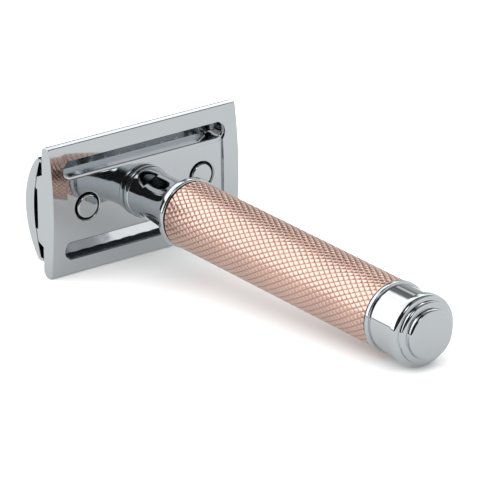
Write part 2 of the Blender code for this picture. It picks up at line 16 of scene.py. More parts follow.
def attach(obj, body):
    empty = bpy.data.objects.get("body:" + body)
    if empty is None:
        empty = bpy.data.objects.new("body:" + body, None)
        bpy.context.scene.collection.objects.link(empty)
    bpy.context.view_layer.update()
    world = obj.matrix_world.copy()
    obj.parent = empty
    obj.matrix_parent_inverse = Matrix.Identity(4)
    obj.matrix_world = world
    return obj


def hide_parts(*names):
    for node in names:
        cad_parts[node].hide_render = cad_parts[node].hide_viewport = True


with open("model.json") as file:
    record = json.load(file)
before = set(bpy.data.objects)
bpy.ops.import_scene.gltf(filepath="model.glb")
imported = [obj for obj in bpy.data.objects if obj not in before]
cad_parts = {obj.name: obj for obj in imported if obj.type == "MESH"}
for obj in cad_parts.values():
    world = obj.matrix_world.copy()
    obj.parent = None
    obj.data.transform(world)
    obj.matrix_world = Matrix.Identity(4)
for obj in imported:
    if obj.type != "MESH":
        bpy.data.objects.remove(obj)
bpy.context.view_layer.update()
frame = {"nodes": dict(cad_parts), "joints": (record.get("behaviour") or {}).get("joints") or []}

bl_info = {
    "name": "Safety Razor Studio",
    "version": (1, 0, 0),
    "blender": (4, 5, 0),
    "location": "3D View > Sidebar > Razor",
    "description": "Models the pieces of a double-edge safety razor and its studio",
    "category": "Object",
}

MM = 0.001

# The handle's joint gives the razor's own frame: a point on its axis, and the axis.
TURN_JOINT = next(j for j in frame["joints"] if j["name"] == "handle_turn")
TIP = Vector((1, 0, 0)).rotation_difference(Vector(TURN_JOINT["axis"]))
RESTING = Matrix.Translation(TURN_JOINT["pos_m"]) @ TIP.to_matrix().to_4x4()
TO_RAZOR = RESTING.inverted()


def own_box(node):
    """Lowest and highest corner of a frame node, in the razor's own frame."""
    points = [TO_RAZOR @ vertex.co for vertex in frame["nodes"][node].data.vertices]
    low = Vector([min(point[i] for point in points) for i in range(3)])
    high = Vector([max(point[i] for point in points) for i in range(3)])
    return low, high


PLATE_LOW, PLATE_HIGH = own_box("base_plate")
CAP_LOW, CAP_HIGH = own_box("top_cap")
PIN_LOW, PIN_HIGH = own_box("locating_pin_right")
STUD_LOW, STUD_HIGH = own_box("clamp_stud")
BLADE_LOW, BLADE_HIGH = own_box("blade")
NECK_LOW, NECK_HIGH = own_box("neck")
SEAL_LOW, SEAL_HIGH = own_box("neck_seal_ring")
GRIP_LOW, GRIP_HIGH = own_box("grip_sleeve")
REAR_SEAL_LOW, REAR_SEAL_HIGH = own_box("pommel_seal_ring")
FERRULE_LOW, FERRULE_HIGH = own_box("pommel_ferrule")
POMMEL_LOW, POMMEL_HIGH = own_box("pommel_cap")

HEAD_HALF = PLATE_HIGH.y
PLATE_HALF = PLATE_HIGH.z
PIN_PLACE = (PIN_LOW.y + PIN_HIGH.y) / 2

# Gaps between pieces, and sizes that two or more pieces share.
CLAMP_PLAY = 0.09 * MM
HOLE_PLAY = 0.4 * MM
SOCKET_PLAY = 0.08 * MM
HANDLE_PLAY = 0.1 * MM
PIN_ROOT = 1.55 * MM
STUD_ROOT = 1.9 * MM
ROD_BORE = 1.58 * MM
TAB_LENGTH = 2.75 * MM

# How finely the pieces are made.
TURN_STEPS = 160
SMALL_STEPS = 72
SMOOTH_ANGLE = radians(35)
WELD = 0.0005 * MM

# A cutter stands this far past the surface that it cuts.
CUT_PAST = 2 * MM

EDGE_LEAN = radians(83.3)
SIDES = (("left", -1), ("right", 1))
BARS = (("lower", -1), ("upper", 1))
CORNERS = tuple(
    (f"{bar}_{side}", along, across) for side, along in SIDES for bar, across in BARS
)


# ---- Settings that a user may change -----------------------------------------


def size(name, description, default):
    return bpy.props.FloatProperty(
        name=name, description=description, default=default, min=0, unit="LENGTH"
    )


def colour(name, description, default):
    return bpy.props.FloatVectorProperty(
        name=name,
        description=description,
        default=default,
        subtype="COLOR",
        size=3,
        min=0,
        max=1,
    )


def factor(name, description, default):
    return bpy.props.FloatProperty(
        name=name, description=description, default=default, min=0, max=1, subtype="FACTOR"
    )


def power(name, description, default):
    return bpy.props.FloatProperty(
        name=name, description=description, default=default, min=0
    )


class HeadSettings(bpy.types.PropertyGroup):
    """Sizes of the base plate, cap, blade, pins and stud."""

    bar_thickness: size("Bar thickness", "Thickness of the safety bars", 2.5 * MM)
    bar_fillet: size("Bar fillet", "Rounding of the plate's long edges", 0.34 * MM)
    edge_face: size("Edge face", "Width of the leaning face on a long edge", 0.8 * MM)
    bar_width: size("Bar width", "Width of a safety bar beside its slot", 3.2 * MM)
    slot_width: size("Slot width", "Width of a lather slot", 3.2 * MM)
    slot_margin: size("Slot margin", "Metal beyond each end of a slot", 3.1 * MM)
    field_crown: size("Field crown", "How far the middle of the underside stands up", 0.28 * MM)
    rise_start: size("Rise start", "Where the flat field ends", 17.74 * MM)
    rise_end: size("Rise end", "Where the raised ends start", 17.86 * MM)
    field_dish: size("Field dish", "How far the field climbs towards its ends", 0.12 * MM)
    end_lean: size("End lean", "How far the raised ends still climb outwards", 0.16 * MM)
    platform_width: size("Platform width", "Width of the seat under the blade", 13.0 * MM)
    bend_radius: size("Bend radius", "Radius that the clamped blade is bent to", 25.0 * MM)
    rim: size("Hole rims", "Rounding round the pin and stud holes", 0.22 * MM)
    slot_rim: size("Slot rims", "Width of the rolled inner rim of a slot", 0.7 * MM)
    scallop_pitch: size("Scallop pitch", "Distance between the bars' grooves", 3.3 * MM)
    thread_pitch: size("Thread pitch", "Rise of the stud's thread in a turn", 0.8 * MM)


class HandleSettings(bpy.types.PropertyGroup):
    """Sizes of the neck, grip and pommel."""

    flange_length: size("Flange length", "Length of the neck's rounded flange", 1.3 * MM)
    collar_length: size("Collar length", "Length of the collar before the grip", 1.5 * MM)
    waist: size("Neck waist", "Least radius of the neck", 4.6 * MM)
    knurl_starts: bpy.props.IntProperty(
        name="Knurl starts",
        description="Grooves that start round the grip, each way",
        default=36,
        min=8,
        max=72,
    )
    knurl_pitch: size("Knurl pitch", "Length of one knurled diamond", 2.03 * MM)
    knurl_depth: size("Knurl depth", "Depth of the knurl's grooves", 0.08 * MM)
    knurl_top: factor("Knurl top", "Share of a diamond that its flat top takes", 0.60)
    grip_wall: size("Grip wall", "Wall of the grip sleeve", 0.65 * MM)
    bead_length: size("Bead length", "Length of the bead behind the grip", 0.8 * MM)
    step_radius: size("Step radius", "Radius of the pommel's step", 5.8 * MM)
    disc_radius: size("Disc radius", "Radius of the pommel's end disc", 4.75 * MM)


class FinishSettings(bpy.types.PropertyGroup):
    """Colours and polish of the metals and the seals."""

    chrome: colour("Chrome", "Colour of the chrome plating", (0.53, 0.56, 0.58))
    rose: colour("Rose gold", "Colour of the grip's plating", (0.71, 0.50, 0.42))
    # Painted shade: the groove colour is darker than the rose gold and stands in for the shade
    # that falls low in the knurl's grooves.
    groove: colour("Groove", "Colour low in the knurl's grooves", (0.40, 0.23, 0.185))
    steel: colour("Blade steel", "Colour of the ground blade", (0.72, 0.74, 0.76))
    thread: colour("Thread steel", "Colour of the stud and the rod", (0.42, 0.42, 0.43))
    rubber: colour("Seal", "Colour of the seal rings", (0.02, 0.02, 0.02))
    chrome_polish: factor("Chrome roughness", "Roughness of the chrome", 0.045)
    rose_polish: factor("Rose roughness", "Roughness of the grip's crests", 0.20)


class StudioSettings(bpy.types.PropertyGroup):
    """Lights, floor and camera."""

    floor: colour("Floor", "Colour of the floor", (0.80, 0.80, 0.80))
    ambient: power("Ambient", "Even light on matt surfaces", 1.95)
    lens: bpy.props.FloatProperty(
        name="Lens", description="Focal length of the camera", default=375, unit="CAMERA"
    )


# ---- Modelling helpers -------------------------------------------------------


def deselect():
    """Leave edit mode and select nothing."""
    if bpy.context.mode != "OBJECT":
        bpy.ops.object.mode_set(mode="OBJECT")
    bpy.ops.object.select_all(action="DESELECT")


def activate(piece):
    """Select one object alone and make it the active one."""
    deselect()
    bpy.context.view_layer.objects.active = piece
    piece.select_set(True)


def open_shape(name):
    """Name the object that was just added, put its place in its mesh and open it."""
    piece = bpy.context.object
    piece.name = name
    piece.data.name = name
    bpy.ops.object.transform_apply(location=True, rotation=True, scale=True)
    bpy.ops.object.mode_set(mode="EDIT")
    bpy.ops.mesh.select_mode(type="VERT")
    return piece


def pick(kind, test):
    """Select the open mesh's VERT, EDGE or FACE items whose every corner passes a test."""
    mesh = bpy.context.object.data
    bpy.ops.mesh.select_mode(type=kind)
    bpy.ops.mesh.select_all(action="DESELECT")
    shape = bmesh.from_edit_mesh(mesh)
    if kind == "VERT":
        for vert in shape.verts:
            vert.select_set(test(vert.co))
        shape.select_flush(True)
    else:
        items = shape.edges if kind == "EDGE" else shape.faces
        for item in items:
            item.select_set(all(test(vert.co) for vert in item.verts))
    bmesh.update_edit_mesh(mesh)


def pick_all():
    bpy.ops.mesh.select_all(action="SELECT")


def near(a, b):
    return abs(a - b) < 0.004 * MM


def shift(x=0.0, y=0.0, z=0.0):
    bpy.ops.transform.translate(value=(x, y, z))


def stretch(value, centre):
    bpy.ops.transform.resize(value=value, center_override=centre)


def extrude(x=0.0, y=0.0, z=0.0):
    bpy.ops.mesh.extrude_region_move(TRANSFORM_OT_translate={"value": (x, y, z)})


def face_outwards():
    """Turn every face of the open mesh outwards."""
    pick_all()
    bpy.ops.mesh.normals_make_consistent(inside=False)


def draw_line(name, points, closed=False):
    """A line drawn point by point from one vertex, left open for more work."""
    deselect()
    bpy.ops.mesh.primitive_plane_add(size=MM, location=points[0])
    piece = open_shape(name)
    pick_all()
    bpy.ops.mesh.merge(type="CENTER")
    bpy.ops.mesh.select_mode(type="VERT")
    place = Vector(points[0])
    for point in points[1:]:
        step = Vector(point) - place
        bpy.ops.mesh.extrude_vertices_move(TRANSFORM_OT_translate={"value": step})
        place = Vector(point)
    if closed:
        ends = Vector(points[0]), Vector(points[-1])
        pick("VERT", lambda co: any((co - end).length < WELD for end in ends))
        bpy.ops.mesh.edge_face_add()
    pick_all()
    return piece


def tidy_shell():
    """Merge the open mesh's doubles and turn its faces outwards."""
    pick_all()
    bpy.ops.mesh.remove_doubles(threshold=WELD)
    face_outwards()


def turn(name, profile, steps=TURN_STEPS, closed=False):
    """A profile of (place along the handle, radius), spun round the handle's axis."""
    points = [(x, 0, radius) for x, radius in profile]
    piece = draw_line(name, points, closed)
    bpy.ops.mesh.spin(steps=steps, angle=2 * pi, center=(0, 0, 0), axis=(1, 0, 0))
    tidy_shell()
    return piece


def draw_out(name, outline, stations):
    """A section of (x, z) drawn out along the head through stations, both ends filled."""
    start = stations[0]
    piece = draw_line(name, [(x, start, z) for x, z in outline], closed=True)
    bpy.ops.mesh.edge_face_add()
    bpy.ops.mesh.select_mode(type="FACE")
    for before, after in zip(stations, stations[1:]):
        extrude(y=after - before)
    tidy_shell()
    return piece


def bevel_edges(test, width, segments=3):
    pick("EDGE", test)
    bpy.ops.mesh.bevel(offset=width, segments=segments, affect="EDGES", clamp_overlap=True)


def combine(piece, tool, operation="DIFFERENCE"):
    """Cut a tool out of a piece, or weld it on, and drop the tool."""
    activate(piece)
    modifier = piece.modifiers.new("Combine", "BOOLEAN")
    modifier.operation = operation
    modifier.solver = "EXACT"
    modifier.object = tool
    bpy.ops.object.modifier_apply(modifier=modifier.name)
    bpy.data.objects.remove(tool)


def drill(name, radius, surface, rim, place, deep=9 * MM):
    """A round cutter whose mouth opens by a rounded rim as it meets the surface."""
    past = surface + CUT_PAST
    profile = [(-deep, 0), (-deep, radius)]
    profile += rounded_mouth(surface, radius, rim)
    profile += [(past, radius + rim), (past, 0)]
    tool = turn(name, profile, SMALL_STEPS)
    pick_all()
    shift(*place)
    return tool


def array(piece, count, offset=None, helper=None, weld=False):
    """Repeat a piece by a straight offset or by a helper's own turn and shift."""
    activate(piece)
    row = piece.modifiers.new("Row", "ARRAY")
    row.count = count
    row.use_relative_offset = False
    row.use_constant_offset = offset is not None
    if offset is not None:
        row.constant_offset_displace = offset
    row.use_object_offset = helper is not None
    row.offset_object = helper
    row.use_merge_vertices = weld
    row.merge_threshold = WELD
    bpy.ops.object.modifier_apply(modifier=row.name)


def rounded_mouth(surface, radius, rim, steps=6):
    """Points from a straight wall outwards over a rounded rim to a surface."""
    turns = [pi / 2 * i / steps for i in range(steps + 1)]
    return [(surface - rim * (1 - sin(t)), radius + rim * (1 - cos(t))) for t in turns]


def arc(centre, radius, start, end, steps):
    """Points on a circle from one angle to another, both ends included."""
    turns = [start + (end - start) * i / steps for i in range(steps + 1)]
    return [(centre[0] + radius * cos(t), centre[1] + radius * sin(t)) for t in turns]


def front_corner(place, crest, rounding, steps):
    """Points over the rounded corner where a turned piece rises to its crest."""
    return arc((place + rounding, crest - rounding), rounding, pi, pi / 2, steps)


def rear_corner(place, crest, rounding, steps):
    """Points over the rounded corner where a turned piece falls from its crest."""
    return arc((place - rounding, crest - rounding), rounding, pi / 2, 0, steps)


def bead(start, length, crest, foot, steps=16):
    """Points over a rounded bead that stands from foot to crest."""
    turns = [pi * i / steps for i in range(steps + 1)]
    return [
        (start + length * (1 - cos(t)) / 2, foot + (crest - foot) * sin(t)) for t in turns
    ]


def rolled_side(start, end, crest, foot, steps=16):
    """Points of a quarter ellipse from a flat crest down to the foot beyond it."""
    turns = [pi / 2 * i / steps for i in range(steps + 1)]
    return [(start + (end - start) * sin(t), foot + (crest - foot) * cos(t)) for t in turns]


def flare(start, end, small, large, steps=20):
    """Points of a hollow curve that starts along the handle and opens outwards."""
    turns = [pi / 2 * i / steps for i in range(steps + 1)]
    return [
        (start + (end - start) * sin(t), small + (large - small) * (1 - cos(t)))
        for t in turns
    ]


def mirrored(half):
    """A half outline, drawn from the middle of one side to the middle of the other."""
    return half + [(x, -z) for x, z in reversed(half) if abs(z) > WELD]


def lay_down(piece, node, body, material, weighted=False):
    """Finish a piece: shade it, carry it to its resting pose, attach it to its body and hide the
    frame's own part.
    """
    activate(piece)
    bpy.ops.object.shade_smooth_by_angle(angle=SMOOTH_ANGLE)
    if weighted:
        modifier = piece.modifiers.new("Weighted Normals", "WEIGHTED_NORMAL")
        modifier.keep_sharp = True
        bpy.ops.object.modifier_apply(modifier=modifier.name)
    piece.matrix_world = RESTING
    bpy.ops.object.transform_apply(location=True, rotation=True, scale=True)
    piece.data.materials.clear()
    piece.data.materials.append(material)
    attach(piece, body)
    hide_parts(node)
    return piece


# ---- Materials ---------------------------------------------------------------


def new_material(name, metallic=1.0):
    """A new metal or rubber: the material, its shader and the razor's coordinates."""
    material = bpy.data.materials.new(name)
    material.use_nodes = True
    nodes = material.node_tree.nodes
    shader = nodes["Principled BSDF"]
    shader.inputs["Metallic"].default_value = metallic
    source = nodes.new("ShaderNodeTexCoord")
    own = nodes.new("ShaderNodeMapping")
    own.label = "Razor's own frame"
    own.inputs["Location"].default_value = TO_RAZOR.to_translation()
    own.inputs["Rotation"].default_value = TO_RAZOR.to_euler()
    material.node_tree.links.new(source.outputs["Object"], own.inputs["Vector"])
    return material, shader, own.outputs["Vector"]


def link(material, source, target):
    material.node_tree.links.new(source, target)


def scaled(material, vector, scale):
    """Coordinates stretched by a scale for each direction."""
    node = material.node_tree.nodes.new("ShaderNodeMapping")
    node.inputs["Scale"].default_value = scale
    link(material, vector, node.inputs["Vector"])
    return node.outputs["Vector"]


def noise(material, vector, scale, detail=3.0, rough=0.5):
    node = material.node_tree.nodes.new("ShaderNodeTexNoise")
    node.inputs["Scale"].default_value = scale
    node.inputs["Detail"].default_value = detail
    node.inputs["Roughness"].default_value = rough
    link(material, vector, node.inputs["Vector"])
    return node.outputs["Fac"]


def spread(material, value, low, high, to_low, to_high):
    """A value carried from one range to another, held at both ends."""
    node = material.node_tree.nodes.new("ShaderNodeMapRange")
    node.inputs["From Min"].default_value = low
    node.inputs["From Max"].default_value = high
    node.inputs["To Min"].default_value = to_low
    node.inputs["To Max"].default_value = to_high
    link(material, value, node.inputs["Value"])
    return node.outputs["Result"]


def blend_colours(material, share, low, high):
    node = material.node_tree.nodes.new("ShaderNodeMix")
    node.data_type = "RGBA"
    node.inputs["A"].default_value = (*low, 1)
    node.inputs["B"].default_value = (*high, 1)
    link(material, share, node.inputs["Factor"])
    return node.outputs["Result"]


def calculate(material, operation, first, second):
    node = material.node_tree.nodes.new("ShaderNodeMath")
    node.operation = operation
    link(material, first, node.inputs[0])
    link(material, second, node.inputs[1])
    return node.outputs["Value"]


def bump(material, shader, height, strength, distance):
    node = material.node_tree.nodes.new("ShaderNodeBump")
    node.inputs["Strength"].default_value = strength
    node.inputs["Distance"].default_value = distance
    link(material, height, node.inputs["Height"])
    link(material, node.outputs["Normal"], shader.inputs["Normal"])


def from_axis(material, vector):
    """Distance from the handle's axis."""
    flat = material.node_tree.nodes.new("ShaderNodeVectorMath")
    flat.operation = "MULTIPLY"
    flat.inputs[1].default_value = (0, 1, 1)
    link(material, vector, flat.inputs[0])
    reach = material.node_tree.nodes.new("ShaderNodeVectorMath")
    reach.operation = "LENGTH"
    link(material, flat.outputs["Vector"], reach.inputs[0])
    return reach.outputs["Value"]


def darker(shade, share):
    return tuple(part * share for part in shade)


def chrome_plating(finish, name, grain):
    """Bright plating with faint polishing haze and hairlines along one direction."""
    if name in bpy.data.materials:
        return bpy.data.materials[name]
    material, shader, own = new_material(name)
    haze = noise(material, own, 260, 4.0, 0.6)
    tone = blend_colours(material, haze, darker(finish.chrome, 0.97), finish.chrome)
    link(material, tone, shader.inputs["Base Color"])
    lines = noise(material, scaled(material, own, grain), 900, 2.0, 0.6)
    mixed = calculate(material, "MULTIPLY", haze, lines)
    low, high = finish.chrome_polish * 0.6, finish.chrome_polish * 1.9
    polish = spread(material, mixed, 0.12, 0.42, low, high)
    link(material, polish, shader.inputs["Roughness"])
    bump(material, shader, lines, 0.02, 0.01 * MM)
    return material


def rose_plating(finish, radius, depth):
    """Satin rose gold whose grooves are rougher than its crests, with painted shade that darkens
    their colour.
    """
    material, shader, own = new_material("rose_gold_plating")
    height = spread(material, from_axis(material, own), radius - depth, radius, 0, 1)
    grain = noise(material, own, 2600, 3.0, 0.6)
    # Painted shade: the colour darkens from the crests down to the groove floors, standing in
    # for shade in the knurl.
    tone = blend_colours(material, height, finish.groove, finish.rose)
    mottle = noise(material, own, 120, 2.0, 0.5)
    worn = material.node_tree.nodes.new("ShaderNodeHueSaturation")
    link(material, tone, worn.inputs["Color"])
    link(material, spread(material, mottle, 0.3, 0.7, 0.94, 1.05), worn.inputs["Value"])
    link(material, worn.outputs["Color"], shader.inputs["Base Color"])
    satin = spread(material, height, 0, 1, finish.rose_polish + 0.2, finish.rose_polish)
    flecks = spread(material, grain, 0.3, 0.7, -0.05, 0.06)
    polish = calculate(material, "ADD", satin, flecks)
    link(material, polish, shader.inputs["Roughness"])
    bump(material, shader, grain, 0.12, 0.02 * MM)
    return material


def clouded(material, shader, cloud, shade, dark_share):
    """A base colour that wanders between a shade and a darker share of it."""
    tone = blend_colours(material, cloud, darker(shade, dark_share), shade)
    link(material, tone, shader.inputs["Base Color"])


def grained(material, shader, grain, smooth, rough, strength, distance):
    """Roughness and relief that both follow one fine grain."""
    polish = spread(material, grain, 0.3, 0.7, smooth, rough)
    link(material, polish, shader.inputs["Roughness"])
    bump(material, shader, grain, strength, distance)


def ground_steel(finish):
    """Blade steel, ground across its edges so that fine lines cross its width."""
    material, shader, own = new_material("ground_blade_steel")
    lines = noise(material, scaled(material, own, (1, 0.04, 1)), 5200, 3.0, 0.7)
    clouded(material, shader, noise(material, own, 180, 2.0), finish.steel, 0.86)
    grained(material, shader, lines, 0.06, 0.16, 0.05, 0.01 * MM)
    return material


def machined_steel(finish):
    """Plain turned steel of the stud and the rod, with rings round its axis."""
    material, shader, own = new_material("machined_steel")
    rings = noise(material, scaled(material, own, (1, 0.03, 0.03)), 6000, 2.0, 0.6)
    clouded(material, shader, noise(material, own, 300, 3.0), finish.thread, 0.8)
    grained(material, shader, rings, 0.22, 0.42, 0.15, 0.02 * MM)
    return material


def seal_rubber(finish):
    """Matt black rubber with a fine moulded grain."""
    material, shader, own = new_material("seal_rubber_black", metallic=0.0)
    grain = noise(material, own, 3200, 4.0, 0.7)
    clouded(material, shader, grain, finish.rubber, 0.6)
    grained(material, shader, grain, 0.55, 0.8, 0.25, 0.02 * MM)
    return material


ALONG_HEAD_GRAIN = (1, 0.05, 1)
ROUND_HANDLE_GRAIN = (1, 0.06, 0.06)


def head_chrome(finish):
    return chrome_plating(finish, "head_chrome", ALONG_HEAD_GRAIN)


def turned_chrome(finish):
    return chrome_plating(finish, "turned_chrome", ROUND_HANDLE_GRAIN)


# ---- Head --------------------------------------------------------------------


def underside_reach(head):
    """Half width of the underside, up to the rounding of a long edge."""
    rounding = head.bar_fillet * sin(EDGE_LEAN) + head.edge_face * cos(EDGE_LEAN)
    return PLATE_HALF - rounding


def underside_radius(head, crown):
    return (underside_reach(head) ** 2 + crown**2) / (2 * crown)


def seat_radius(head):
    return head.bend_radius - CLAMP_PLAY


def cap_radius(head):
    return head.bend_radius + CLAMP_PLAY


def bend_centre(head):
    """The axis that the blade, the seat and the cap's inner face are all bent about."""
    return PLATE_LOW.x + seat_radius(head)


def cap_face(head, distance):
    """Height of the cap's curved inner face at a distance from its middle."""
    return bend_centre(head) - sqrt(cap_radius(head) ** 2 - distance**2)


def shoulder_place(head, radius):
    """Where a round shoulder of this radius clears the cap's inner face."""
    return cap_face(head, radius) + SOCKET_PLAY


def plate_section(head):
    """Half of the section: underside, rounded bar, ledge, wall and blade seat."""
    fillet = head.bar_fillet
    reach = underside_reach(head)
    step, step_half, ledge = frame_line(head), 0.1 * MM, 0.7 * MM
    radius = underside_radius(head, head.field_crown)
    lean = asin((step - step_half) / radius)
    half = arc((head.field_crown - radius, 0), radius, 0, lean, 17)
    crown = frame_crown(head)
    radius = underside_radius(head, crown)
    lean = asin((step + step_half) / radius)
    half += arc((crown - radius, 0), radius, lean, asin(reach / radius), 10)
    half += arc((-fillet, reach), fillet, 0, EDGE_LEAN, 6)[1:]
    face_end = fillet * (cos(EDGE_LEAN) - 1) - head.edge_face * sin(EDGE_LEAN)
    round_off = head.bar_thickness + face_end
    half += arc((face_end, PLATE_HALF - round_off), round_off, pi / 2, pi, 14)
    half.append((-head.bar_thickness, head.platform_width / 2 + ledge))
    radius = seat_radius(head)
    lean = asin(head.platform_width / 2 / radius)
    half += arc((bend_centre(head), 0), radius, pi - lean, pi, 14)
    return mirrored(half)


def frame_line(head):
    """The middle of a slot, where the flat field gives way to the curved bars."""
    return PLATE_HALF - head.bar_width - head.slot_width / 2


def frame_crown(head):
    return PLATE_HIGH.x - head.end_lean


def crown_at(head, place):
    """Height of the field's middle at a place along the head, or of the raised ends."""
    place = abs(place)
    share = (place - head.rise_start) / (head.rise_end - head.rise_start)
    share = min(max(share, 0), 1)
    dish = head.field_dish * (min(place, head.rise_start) / head.rise_start) ** 2
    field = head.field_crown + dish
    climb = max(place - head.rise_end, 0) / (HEAD_HALF - head.rise_end)
    return field + (frame_crown(head) - field) * share + head.end_lean * climb


def plate_stations(head):
    """Places along the head, close together where the underside rises."""
    rise = [head.rise_start, head.rise_end]
    middle = [head.rise_start * i / 12 for i in range(12)]
    half = middle + rise + [head.rise_end + MM, HEAD_HALF]
    return [-place for place in reversed(half[1:])] + half


def slot_tool(head, name, side):
    """A long round-ended cutter whose inner rim is rolled wider than its outer one."""
    centre = frame_line(head)
    radius = head.slot_width / 2
    straight = HEAD_HALF - head.slot_margin - radius
    right = arc((straight, centre), radius, -pi / 2, pi / 2, 20)
    left = arc((-straight, centre), radius, pi / 2, 3 * pi / 2, 20)
    bottom = -8 * MM
    tool = draw_line(name, [(bottom, y, side * z) for y, z in right + left], closed=True)
    bpy.ops.mesh.edge_face_add()
    bpy.ops.mesh.select_mode(type="FACE")
    reach = underside_reach(head)
    surface = head.field_crown * (1 - (centre / reach) ** 2)
    rim_depth, outer_rim, end_rim, steps = 0.34 * MM, 0.04 * MM, 0.30 * MM, 8
    both_rims = head.slot_rim + outer_rim
    # The line across the slot that stays put while its rims roll outwards.
    fixed = side * (centre + radius - 2 * radius * (outer_rim / both_rims))
    width, length = 2 * radius, 2 * (straight + radius)
    place = bottom
    for i in range(steps + 1):
        level = surface - rim_depth * (1 - sin(pi / 2 * i / steps))
        extrude(x=level - place)
        place = level
        if i:
            grow = 1 - cos(pi / 2 * i / steps)
            new_width = 2 * radius + both_rims * grow
            new_length = 2 * (straight + radius + end_rim * grow)
            stretch((1, new_length / length, new_width / width), (level, 0, fixed))
            width, length = new_width, new_length
    extrude(x=CUT_PAST)
    tidy_shell()
    slope = 2 * head.field_crown * centre / reach**2
    bpy.ops.transform.rotate(
        value=side * slope, orient_axis="Y", center_override=(surface, 0, side * centre)
    )
    return tool


def scallop_tool(head, name, side):
    """A row of round cutters that groove a safety bar on the side of the blade."""
    radius, depth = 1.1 * MM, 0.35 * MM
    reach = head.bar_width + head.slot_width / 2
    count = 2 * int((HEAD_HALF - head.slot_margin) / head.scallop_pitch) + 1
    first = -head.scallop_pitch * (count - 1) / 2
    x = -head.bar_thickness - radius + depth
    z = side * (PLATE_HALF - reach / 2 + depth)
    deselect()
    bpy.ops.mesh.primitive_cylinder_add(
        vertices=40, radius=radius, depth=reach, location=(x, first, z)
    )
    tool = open_shape(name)
    array(tool, count, offset=(0, head.scallop_pitch, 0))
    return tool


def block(name, low, high, bevel=0.0, segments=3):
    """A box between two corners, with its edges rounded."""
    deselect()
    middle = (Vector(low) + Vector(high)) / 2
    extent = Vector(high) - Vector(low)
    bpy.ops.mesh.primitive_cube_add(size=1, location=middle, scale=extent)
    piece = open_shape(name)
    if bevel:
        pick_all()
        bpy.ops.mesh.bevel(offset=bevel, segments=segments, affect="EDGES")
    return piece


def shape_underside(head):
    """Lift the open plate's underside, station by station, to its dish and raised ends."""
    step = frame_line(head)
    for place in plate_stations(head):
        crown = crown_at(head, place)
        for drawn, inside in ((head.field_crown, True), (frame_crown(head), False)):
            if crown > drawn:
                pick(
                    "VERT",
                    lambda co: near(co.y, place)
                    and co.x > 0
                    and (abs(co.z) < step) == inside,
                )
                stretch((crown / drawn, 1, 1), (0, place, 0))


def channel_tool(name, side):
    """A block that cuts the open channel under the blade at one end of the plate."""
    depth, length, half_width = 3 * MM, 3.6 * MM, 4 * MM
    floor = PLATE_LOW.x + 1.0 * MM
    ys = sorted((side * (HEAD_HALF - length), side * (HEAD_HALF + CUT_PAST)))
    low, high = (floor - depth, ys[0], -half_width), (floor, ys[1], half_width)
    return block(name, low, high, 0.2 * MM)


def make_base_plate(head, finish):
    """The plate's drawn-out section, shaped underneath, slotted, scalloped and drilled."""
    plate = draw_out("base_plate_shell", plate_section(head), plate_stations(head))
    shape_underside(head)
    bevel_edges(lambda co: near(abs(co.y), HEAD_HALF), 0.16 * MM)
    face_outwards()
    for name, side in BARS:
        combine(plate, slot_tool(head, f"{name}_slot_tool", side))
        combine(plate, scallop_tool(head, f"{name}_scallop_tool", side))
    surface = head.field_crown
    for name, side in SIDES:
        place = (0, side * PIN_PLACE, 0)
        hole = PIN_HIGH.z + HOLE_PLAY
        combine(plate, drill(f"{name}_pin_tool", hole, surface, head.rim, place))
        combine(plate, channel_tool(f"{name}_channel_tool", side))
    hole = STUD_HIGH.z + HOLE_PLAY
    combine(plate, drill("stud_tool", hole, surface, head.rim, (0, 0, 0)))
    lay_down(plate, "base_plate", "plate", head_chrome(finish), weighted=True)


def cap_section(head):
    """Half of the section, from the crown to the face that clamps the blade."""
    inner_radius = cap_radius(head)
    inner_apex = bend_centre(head) - inner_radius
    thickness = inner_apex - CAP_LOW.x
    chamfer, edge_thickness = 0.25 * MM, 1.19 * MM
    reach = CAP_HIGH.z - chamfer
    inner_rise = inner_radius - sqrt(inner_radius**2 - reach**2)
    rise = thickness + inner_rise - edge_thickness
    radius = (reach**2 + rise**2) / (2 * rise)
    half = arc((CAP_LOW.x + radius, 0), radius, pi, pi - asin(reach / radius), 30)
    lean = asin(reach / inner_radius)
    inner = arc((bend_centre(head), 0), inner_radius, pi - lean, pi, 18)
    lip = [(half[-1][0] + chamfer, CAP_HIGH.z), (inner[0][0] - chamfer, CAP_HIGH.z)]
    return mirrored(half + lip + inner)


def make_top_cap(head, finish):
    """The curved cap with a lug at each corner and a socket for each pin and the stud."""
    cap = draw_out("top_cap_shell", cap_section(head), [-HEAD_HALF, 0, HEAD_HALF])
    bevel_edges(lambda co: near(abs(co.y), HEAD_HALF), 0.18 * MM)
    thick, inset, blade_gap = 0.55 * MM, 0.08 * MM, 0.2 * MM
    outer, far = CAP_HIGH.z - inset, HEAD_HALF - inset
    top = cap_face(head, outer) - thick
    lug_length = HEAD_HALF - (BLADE_HIGH.y - TAB_LENGTH) - blade_gap
    for name, along, across in CORNERS:
        ys = sorted((along * far, along * (far - lug_length)))
        zs = sorted((across * outer, across * (outer - thick)))
        low, high = (top, ys[0], zs[0]), (CAP_HIGH.x, ys[1], zs[1])
        combine(cap, block(f"{name}_lug", low, high, 0.08 * MM), "UNION")
    ceiling = PIN_LOW.x - SOCKET_PLAY
    past = bend_centre(head) - cap_radius(head) + CUT_PAST
    for name, place, root in (
        ("left", -PIN_PLACE, PIN_ROOT),
        ("right", PIN_PLACE, PIN_ROOT),
        ("middle", 0, STUD_ROOT),
    ):
        socket = root + SOCKET_PLAY
        profile = [(ceiling, 0), (ceiling, socket), (past, socket), (past, 0)]
        tool = turn(f"{name}_socket_tool", profile, SMALL_STEPS)
        pick_all()
        shift(y=place)
        combine(cap, tool)
    lay_down(cap, "top_cap", "cap", head_chrome(finish), weighted=True)


